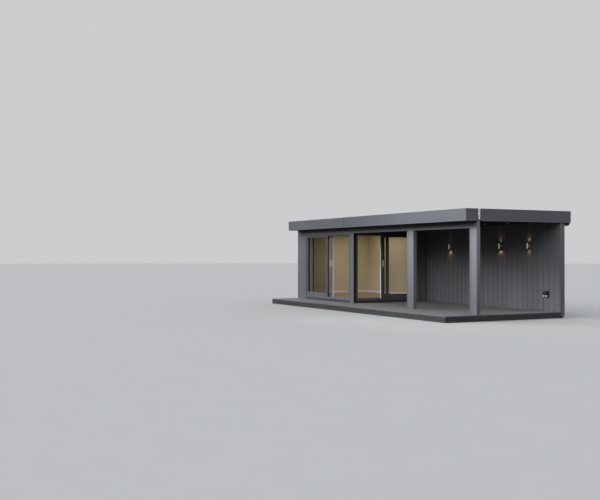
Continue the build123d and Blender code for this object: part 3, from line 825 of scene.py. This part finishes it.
# Door sets: u runs along the set from its fixed end, v inward from its outer face, w upward
class DoorSet:
    def __init__(self, name):
        self.name = name
        low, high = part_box(f"{name}_frame")
        if name == "front_door":
            self.profile = "front_profile"
            self.place = lambda u, v, w: (low.x + u, low.y + v, w)
            self.length = high.x - low.x
            self.span = lambda n: [p.x - low.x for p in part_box(n)]
            self.deep = lambda n: [p.y - low.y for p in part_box(n)]
        else:
            self.profile = "side_profile"
            self.place = lambda u, v, w: (high.x - v, high.y - u, w)
            self.length = high.y - low.y
            self.span = lambda n: sorted(high.y - p.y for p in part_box(n))
            self.deep = lambda n: sorted(high.x - p.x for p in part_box(n))

    # The sash's own profile, and the glass in it; the leaf has a wider stile at its lock
    def sash(self, part, body):
        sash = f"{self.name}_{part}_sash"
        glass = f"{self.name}_{part}_glass"
        u0, u1 = self.span(sash)
        low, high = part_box(sash)
        g0, g1 = self.span(glass)
        glass_low, glass_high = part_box(glass)
        v0, v1 = self.deep(glass)
        lock_stile = LOCK_STILE if part == "leaf" else 0
        outer = (u0, u1, low.z, high.z)
        inner = (g0 + GLASS_BITE, g1 - GLASS_BITE - lock_stile,
                 glass_low.z + GLASS_BITE, glass_high.z - GLASS_BITE)
        self.sash_profile(part, body, sash, inner, outer, v0, v1)
        self.panes(part, body, glass, inner, v0, v1)

    # Mitred profile with a bead, a rubber seal and a white inner side
    def sash_profile(self, part, body, sash, inner, outer, v0, v1):
        v_out = (v0 + v1) / 2 - SASH_DEEP / 2
        v_in = v_out + SASH_DEEP
        section = [("o", SASH_EASE, v_out)]
        section += [("i", out, v_out + deep) for out, deep in BEAD]
        section += [("i", 0.0, v0 - SEAL), ("i", 0.0, v0), ("i", SEAL_IN, v0),
                    ("i", SEAL_IN, v1), ("i", 0.0, v1), ("i", 0.0, v1 + SEAL)]
        section += [("i", out, v_in - deep) for out, deep in reversed(BEAD)]
        section += [("o", SASH_EASE, v_in), ("o", 0.0, v_in - SASH_EASE),
                    ("o", 0.0, v_out + FOIL_EDGE), ("o", 0.0, v_out + SASH_EASE)]
        dark, white, seal = 0, 1, 2
        # The fixed sash's outer edge takes the near-black seal colour: painted shade where that edge stands
        # in shadow
        edge = white if part == "leaf" else seal
        slots = [dark] * 4 + [seal] * 7 + [white] * 5 + [edge, dark, dark]
        form = Form()
        form.ring(inner, outer, section, self.place, slots)
        form.make(f"{sash}_profile", body, [self.profile, "white", "rubber"], replaces=[sash])

    # Two panes with a dark spacer between their edges
    def panes(self, part, body, glass, inner, v0, v1):
        left, right, foot, head = inner
        form = Form()
        for v in (v0, v1 - PANE):
            form.bar((left - PANE_HELD, v, foot - PANE_HELD),
                     (right + PANE_HELD, v + PANE, head + PANE_HELD), self.place, PANE_EASE)
        form.make(f"{self.name}_{part}_panes", body, ["glass"], replaces=[glass])
        spacer = [("i", PANE_HELD, v0 + PANE), ("i", -SPACER_SHOWS, v0 + PANE),
                  ("i", -SPACER_SHOWS, v1 - PANE), ("i", PANE_HELD, v1 - PANE)]
        form = Form()
        form.ring(inner, inner, spacer, self.place, [0] * len(spacer))
        form.make(f"{self.name}_{part}_spacer", body, ["spacer"])

    def drain_caps(self):
        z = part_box(f"{self.name}_frame")[0].z + DRAIN_LEVEL
        form = Form()
        for share in DRAIN_SHARES:
            u = self.length * share
            form.bar((u - DRAIN_HALF, -DRAIN_PROUD, z), (u + DRAIN_HALF, DRAIN_SUNK, z + DRAIN_HIGH),
                     self.place, DRAIN_EASE)
        form.make(f"{self.name}_drain_caps", FIXED, ["rubber"])


def doors():
    for name, leaf in LEAF_BODY.items():
        door = DoorSet(name)
        door.sash("fixed", FIXED)
        door.sash("leaf", leaf)
        door.drain_caps()


# Two-way wall lamps. A lamp is a pale tube with dark rims and a lens set into each end, before a black body
# with a pivot pin on each side, on a round rose. Profiles are (radius, height) points
LAMP_COUNT = 4
LAMP_REACH = 0.065
LAMP_END = [(0, 0.014), (0.0170, 0.014), (0.0185, 0.010), (0.0205, 0.001), (0.0215, 0), (0.0240, 0),
            (0.025, 0.0015), (0.025, 0.010), (0.024, 0.011), (0.019, 0.0115)]
ROSE_RADIUS = 0.030
ROSE = [(0, 0), (ROSE_RADIUS, 0), (ROSE_RADIUS, 0.006), (ROSE_RADIUS - 0.002, 0.008), (0, 0.008)]
PIN = [(0, -0.001), (0.010, -0.001), (0.010, 0.003), (0.008, 0.006), (0.004, 0.0075), (0, 0.008)]
PIN_PLACE = 0.017
LAMP_SIDES, ROSE_SIDES, PIN_SIDES = 40, 32, 24
LAMP_SMOOTH = 40
HOUSING_HALF = 0.019
HOUSING_BACK = 0.004
HOUSING_FRONT = LAMP_REACH - 0.012
HOUSING_SHORT = 0.006
HOUSING_EASE = 0.004

# Their light, from the right lamp to the left one
LAMP_COLOUR = (1.0, 0.62, 0.32)
LAMP_UP = (0.55, 0.34, 0.08, 0.08)
LAMP_DOWN = (0.75, 1.25, 1.40, 1.40)
LAMP_SPREAD = math.radians(140)
LAMP_BLEND = 0.9
LAMP_SIZE = 0.02
LIGHT_REACH = 0.045
LIGHT_CLEAR = 0.012


def lamp_places(low, high):
    step = (high.x - low.x - 2 * ROSE_RADIUS) / (LAMP_COUNT - 1)
    return [high.x - ROSE_RADIUS - i * step for i in range(LAMP_COUNT)]


def wall_lamp(form, x, wall, z0, z1):
    lens, tube, rim, bright = 0, 1, 2, 3
    middle = (z0 + z1) / 2

    def up(u, v, w):
        return (x + u, wall - LAMP_REACH + v, w)

    def out(u, v, w):
        return (x + u, wall - w, middle + v)

    shell = [(r, z0 + h) for r, h in LAMP_END] + [(r, z1 - h) for r, h in reversed(LAMP_END)]
    rims = [rim] * (len(LAMP_END) - 2)
    # The tube glows faintly: a painted highlight
    form.turned(shell, up, LAMP_SIDES, slots=[lens, *rims, tube, *rims, lens])
    form.turned(ROSE, out, ROSE_SIDES, rim)
    form.bar((x - HOUSING_HALF, HOUSING_BACK, z0 + HOUSING_SHORT),
             (x + HOUSING_HALF, HOUSING_FRONT, z1 - HOUSING_SHORT), facing_front(wall), HOUSING_EASE, rim)
    # The pins glow: a painted glint
    for side in (-1, 1):
        def sideways(u, v, w):
            return (x + side * (HOUSING_HALF + w), wall - PIN_PLACE + u, middle + v)

        form.turned(PIN, sideways, PIN_SIDES, bright)


def lamp_light(name, x, y, z, power, turn):
    data = bpy.data.lights.new(name, "SPOT")
    data.color = LAMP_COLOUR
    data.energy = power
    data.spot_size = LAMP_SPREAD
    data.spot_blend = LAMP_BLEND
    data.shadow_soft_size = LAMP_SIZE
    light = add_object(name, data)
    light.location = (x, y, z)
    light.rotation_euler = (turn, 0, 0)


def wall_lamps():
    low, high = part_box("wall_lamps")
    places = lamp_places(low, high)
    form = Form()
    for x in places:
        wall_lamp(form, x, high.y, low.z, high.z)
    form.make("wall_lamp_bodies", FIXED, ["lens", "opal", "rubber", "pin"], LAMP_SMOOTH,
              ["wall_lamps"])
    y = high.y - LIGHT_REACH
    for i, x in enumerate(places):
        lamp_light(f"wall_lamp_light_{i}_1", x, y, high.z + LIGHT_CLEAR, LAMP_UP[i], math.pi)
        lamp_light(f"wall_lamp_light_{i}_-1", x, y, low.z - LIGHT_CLEAR, LAMP_DOWN[i], 0)


# Outdoor socket, as shares of its box: a back box, a hinged lid over its upper part, a lower front with two
# round knobs, and a latch
BASE_DEEP, FRONT_DEEP, LATCH_DEEP, HINGE_DEEP = 0.55, 0.72, 0.86, 0.64
FRONT_TALL, LID_FOOT = 0.40, 0.42
LATCH_LOW, LATCH_HIGH = 0.36, 0.46
LATCH_HALF = 0.011
SEAM = 0.0015
SHELL_EASE, FRONT_EASE, LATCH_EASE, HINGE_EASE = 0.006, 0.004, 0.002, 0.001
SHELL_INSET = 0.004
SOCKET_SMOOTH = 35
HINGE_INSET = 0.012
HINGE_DROP = 0.007
HINGE_RADIUS = 0.006
KNOB_APART = 0.044
KNOB_LEVEL = 0.029
KNOB = [(0, -0.001), (0.0215, -0.001), (0.0215, 0.003), (0.019, 0.008), (0.017, 0.010), (0.009, 0.011),
        (0, 0.011)]
SCREW = [(0, -0.001), (0.0032, -0.001), (0.0030, 0.001), (0.001, 0.0012), (0, 0.0005)]
SCREW_INSET = 0.009
SCREW_FOOT, SCREW_DROP = 0.008, 0.024
KNOB_SIDES, HINGE_SIDES, SCREW_SIDES = 32, 16, 12


def socket_box():
    low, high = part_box("outdoor_socket")
    wide, tall, deep = high.x - low.x, high.z - low.z, high.y - low.y
    x, z = (low.x + high.x) / 2, low.z
    half = wide / 2
    place = facing_front(high.y)
    shell, knob, screw = 0, 1, 2
    form = Form()
    form.bar((x - half, 0, z), (x + half, deep * BASE_DEEP, z + tall), place, SHELL_EASE, shell)
    form.bar((x - half + SHELL_INSET, deep * BASE_DEEP + SEAM, z + SHELL_INSET),
             (x + half - SHELL_INSET, deep * FRONT_DEEP, z + tall * FRONT_TALL), place, FRONT_EASE, shell)
    form.prism(socket_lid(z, tall, deep), x - half + SHELL_INSET, x + half - SHELL_INSET,
               lambda u, v, w: (w, high.y - v, u), shell)
    socket_hinge(form, x, high.y - deep * HINGE_DEEP, z + tall - HINGE_DROP, half - HINGE_INSET, shell)
    for side in (-1, 1):
        def dial(u, v, w):
            return (x + side * KNOB_APART + u, high.y - deep * FRONT_DEEP - w, z + KNOB_LEVEL + v)

        form.turned(KNOB, dial, KNOB_SIDES, knob)
        for up in (SCREW_FOOT, tall - SCREW_DROP):
            def head(u, v, w):
                return (x + side * (half - SCREW_INSET) + u, high.y - deep * BASE_DEEP - w, z + up + v)

            form.turned(SCREW, head, SCREW_SIDES, screw)
    form.bar((x - LATCH_HALF, deep * FRONT_DEEP, z + tall * LATCH_LOW),
             (x + LATCH_HALF, deep * LATCH_DEEP, z + tall * LATCH_HIGH), place, LATCH_EASE, shell)
    form.make("outdoor_socket_shell", FIXED, ["socket", "knob", "screw"], SOCKET_SMOOTH,
              ["outdoor_socket"])


# The lid's outline as (height, depth) points: up its back, over the top and down a sloping front to its lip
def socket_lid(z, tall, deep):
    back, head = deep * BASE_DEEP + SEAM, z + tall
    return [(z + tall * LID_FOOT, back), (head - 0.012, back), (head - 0.010, deep * 0.70),
            (head - 0.020, deep * 0.90), (z + tall * 0.50, deep), (z + tall * 0.43, deep * 0.97)]


# The lid's hinge, a rod with eased ends
def socket_hinge(form, x, y, z, reach, slot):
    thin = HINGE_RADIUS - HINGE_EASE
    rod = [(0, -reach), (thin, -reach), (HINGE_RADIUS, -reach + HINGE_EASE),
           (HINGE_RADIUS, reach - HINGE_EASE), (thin, reach), (0, reach)]
    form.turned(rod, lambda u, v, w: (x + w, y + u, z + v), HINGE_SIDES, slot)


# Ceiling lights: a lens in a white ring
RING = [(0, 0.0035), (0.031, 0.0035), (0.033, 0.005), (0.038, 0.006), (0.041, 0.004), (0.042, 0), (0, 0)]


def ceiling_lights():
    low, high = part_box("ceiling_lights")
    radius = (high.y - low.y) / 2
    y = (low.y + high.y) / 2
    ring, lens = 0, 1
    form = Form()
    for x in (low.x + radius, high.x - radius):
        def down(u, v, w):
            return (x + u, y + v, high.z - w)

        form.turned(RING, down, LAMP_SIDES, slots=[lens] + [ring] * (len(RING) - 2))
    form.make("ceiling_light_rings", FIXED, ["white", "spot_lens"], LAMP_SMOOTH, ["ceiling_lights"])


# CAD nodes whose shape is right keep it, and get their material
KEPT = {
    "structure": ["room_base", "deck_joists"],
    "core": ["roof_panel", "left_wall", "front_panel", "back_wall", "partition_wall"],
    "lining": ["room_lining"],
    "ceiling": ["room_ceiling"],
    "floor": ["room_floor"],
    "membrane": ["roof_membrane"],
    "steel": ["front_door_leaf_handle", "side_door_leaf_handle"],
    "rainwater": ["gutter", "gutter_brackets", "downpipe"],
}

# These get eased edges too: material, slot, nodes
EASED = (
    # front_beam and front_header take the beam's lighter copy of the cladding: painted light
    ("beam", "cladding", ["front_beam", "front_header"]),
    # side_header takes a darker copy of the cladding: painted shade
    ("header", "cladding", ["side_header"]),
    # door_plinths take a darker copy of the cladding: painted shade
    ("plinth", "cladding", ["door_plinths"]),
    ("fascia", "fascia", ["front_fascia_left", "front_fascia_right", "left_fascia", "right_fascia_front",
                          "right_fascia_back", "back_fascia"]),
    # deck_risers take the darker copy of the deck composite: painted shade
    ("riser", "deck", ["deck_risers"]),
    ("pale", "pale_strip", ["joint_strip"]),
)

# The fascia's corner covers lie past this, and its darker joint covers within it
CORNER_COVERS = 4

# How far from a door frame's inner face its foil ends
FOIL_END = 0.004


def dress(name, material):
    data = NODES[name].data
    data.materials.clear()
    data.materials.append(material)


def dress_nodes():
    for key, names in KEPT.items():
        for name in names:
            dress(name, MATS[key])
    for key, slot, names in EASED:
        for name in names:
            eased(name, [MATS[key]])
    covers = eased("fascia_covers", [MATS["fascia"], MATS["cover"]])
    for face in covers.data.polygons:
        face.material_index = 1 if abs(face.center.x) < CORNER_COVERS else 0
    y_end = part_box("front_door_frame")[1].y - FOIL_END
    # The front frame's foil is a lighter copy of the side frame's: painted light
    foil = two_sided("front_frame_foil", shade(FOIL, FRONT_PAINTED_LIGHT), WHITE, "Y", "GREATER_THAN", y_end)
    eased("front_door_frame", [foil], FRAME_EASE)
    x_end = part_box("side_door_frame")[0].x + FOIL_END
    foil = two_sided("side_frame_foil", FOIL, WHITE, "X", "LESS_THAN", x_end)
    eased("side_door_frame", [foil], FRAME_EASE)


# Soft studio light: a bright band of sky over the front left, a dim horizon and a dark ground side
SKY_WAY = (-0.25, -0.968, 0)
SKY = 4.1
HORIZON, TOP, FAR_SIDE, ZENITH = 0.0, 0.10, 0.24, 0.32
GROUND = 0.05

# From where to where the sky changes, as heights on the unit sphere, and SIDE along SKY_WAY
RISE, DROP, CAP = (0.05, 0.36), (0.35, 0.75), (0.5, 0.9)
SIDE = (-0.1, 0.9)
GROUND_LINE = (-0.03, 0.01)
TINTED = (0.45, 0.8)
LOW_TINT = (1.0, 0.99, 0.98, 1)
HIGH_TINT = (0.93, 0.98, 1.05, 1)
SMOOTH = "SMOOTHSTEP"


def combine(tree, operation, a, b=None):
    made = node(tree, "ShaderNodeVectorMath", operation=operation)
    feed(tree, made.inputs[0], a)
    if b:
        feed(tree, made.inputs[1], b)
    return made.outputs["Value" if operation == "DOT_PRODUCT" else "Vector"]


def sky():
    world = bpy.data.worlds.new("world")
    bpy.context.scene.world = world
    world.use_nodes = True
    tree = world.node_tree
    back = tree.nodes["Background"]
    place = node(tree, "ShaderNodeTexCoord").outputs["Generated"]
    parts = node(tree, "ShaderNodeSeparateXYZ")
    tree.links.new(place, parts.inputs[0])
    z = parts.outputs["Z"]
    compass = combine(tree, "NORMALIZE", combine(tree, "MULTIPLY", place, (1, 1, 0)))
    along = combine(tree, "DOT_PRODUCT", compass, SKY_WAY)
    rise = between(tree, z, *RISE, HORIZON, 1, SMOOTH)
    drop = between(tree, z, *DROP, 1, TOP, SMOOTH)
    side = between(tree, along, *SIDE, FAR_SIDE, 1, SMOOTH)
    belt = calculate(tree, "MULTIPLY", calculate(tree, "MULTIPLY", rise, drop), side)
    bright = calculate(tree, "ADD", belt, between(tree, z, *CAP, 0, ZENITH, SMOOTH))
    both = node(tree, "ShaderNodeMix", data_type="FLOAT")
    feed(tree, both.inputs[MIX_FACTOR], between(tree, z, *GROUND_LINE, 0, 1, SMOOTH))
    feed(tree, both.inputs[NUMBER_A], GROUND)
    feed(tree, both.inputs[NUMBER_B], calculate(tree, "MULTIPLY", bright, SKY))
    tree.links.new(both.outputs[NUMBER_OUT], back.inputs["Strength"])
    tint = blend_colour(tree, between(tree, z, *TINTED, 0, 1, SMOOTH), LOW_TINT, HIGH_TINT)
    tree.links.new(tint, back.inputs["Color"])


# Pale floor and backdrop, which show but send no light back
FLOOR_SIZE = 300
BACKDROP_RADIUS = 140
FLOOR_PAPER = (0.38, 0.38, 0.378)
FLOOR_LOW = (0.375, 0.375, 0.373)
FLOOR_HIGH = (0.385, 0.385, 0.383)
BACKDROP_PAPER = (0.60, 0.61, 0.62, 1)


def paper_floor():
    bpy.ops.mesh.primitive_plane_add(size=FLOOR_SIZE)
    floor = bpy.context.object
    floor.name = "floor"
    made, tree, shader = blank("floor_paper", FLOOR_PAPER, 0.9)
    fine = noise(tree, ANY_WAY, 2.0, detail=3)
    tree.links.new(ramp(tree, fine, FLOOR_LOW, FLOOR_HIGH), shader.inputs["Base Color"])
    shader.inputs["Specular IOR Level"].default_value = 0.1
    floor.data.materials.append(made)
    return floor


def backdrop():
    bpy.ops.mesh.primitive_uv_sphere_add(segments=64, ring_count=32, radius=BACKDROP_RADIUS)
    dome = bpy.context.object
    dome.name = "backdrop"
    dome.data.shade_smooth()
    made = bpy.data.materials.new("backdrop_paper")
    made.use_nodes = True
    tree = made.node_tree
    glow = node(tree, "ShaderNodeEmission", Strength=1.0)
    glow.inputs["Color"].default_value = BACKDROP_PAPER
    tree.links.new(glow.outputs[0], tree.nodes["Material Output"].inputs["Surface"])
    tree.nodes.remove(tree.nodes[SHADER])
    dome.data.materials.append(made)
    return dome


# The lamp that lights the closed room, under its ceiling
ROOM_LIGHT_SIZE = (1.8, 1.2)
ROOM_LIGHT_POWER = 14.5
ROOM_LIGHT_COLOUR = (1.0, 0.90, 0.74)
ROOM_LIGHT_SHIFT = (-0.05, 0.25, -0.10)


def room_light():
    low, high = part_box("room_ceiling")
    data = bpy.data.lights.new("room_light", "AREA")
    data.shape = "RECTANGLE"
    data.size, data.size_y = ROOM_LIGHT_SIZE
    data.energy = ROOM_LIGHT_POWER
    data.color = ROOM_LIGHT_COLOUR
    light = add_object("room_light", data)
    middle = Vector(((low.x + high.x) / 2, (low.y + high.y) / 2, low.z))
    light.location = middle + Vector(ROOM_LIGHT_SHIFT)


# A soft lamp over the front left, aimed at the free piers
KEY_PLACE = (-3.5, -8.5, 6.2)
KEY_AIM = (4.6, -0.9, 1.0)
KEY_POWER = 2300
KEY_SPREAD = math.radians(38)
KEY_SIZE = 1.3


def key_light():
    data = bpy.data.lights.new("key_light", "SPOT")
    data.energy = KEY_POWER
    data.spot_size = KEY_SPREAD
    data.spot_blend = 1.0
    data.shadow_soft_size = KEY_SIZE
    light = add_object("key_light", data)
    light.location = KEY_PLACE
    light.rotation_euler = (Vector(KEY_AIM) - Vector(KEY_PLACE)).to_track_quat("-Z", "Y").to_euler()


def stage():
    floor = paper_floor()
    dome = backdrop()
    for piece in (floor, dome):
        piece.visible_diffuse = False
        piece.visible_glossy = False
    dome.visible_shadow = False
    dome.visible_transmission = False
    sky()
    room_light()
    key_light()
    bpy.context.scene.view_settings.view_transform = "Standard"


make_camera()
dress_nodes()
piers()
clad_walls()
left_end()
wall_end()
deck()
soffit()
membrane_laps()
gutter_sleeves()
skirting()
doors()
wall_lamps()
socket_box()
ceiling_lights()
stage()
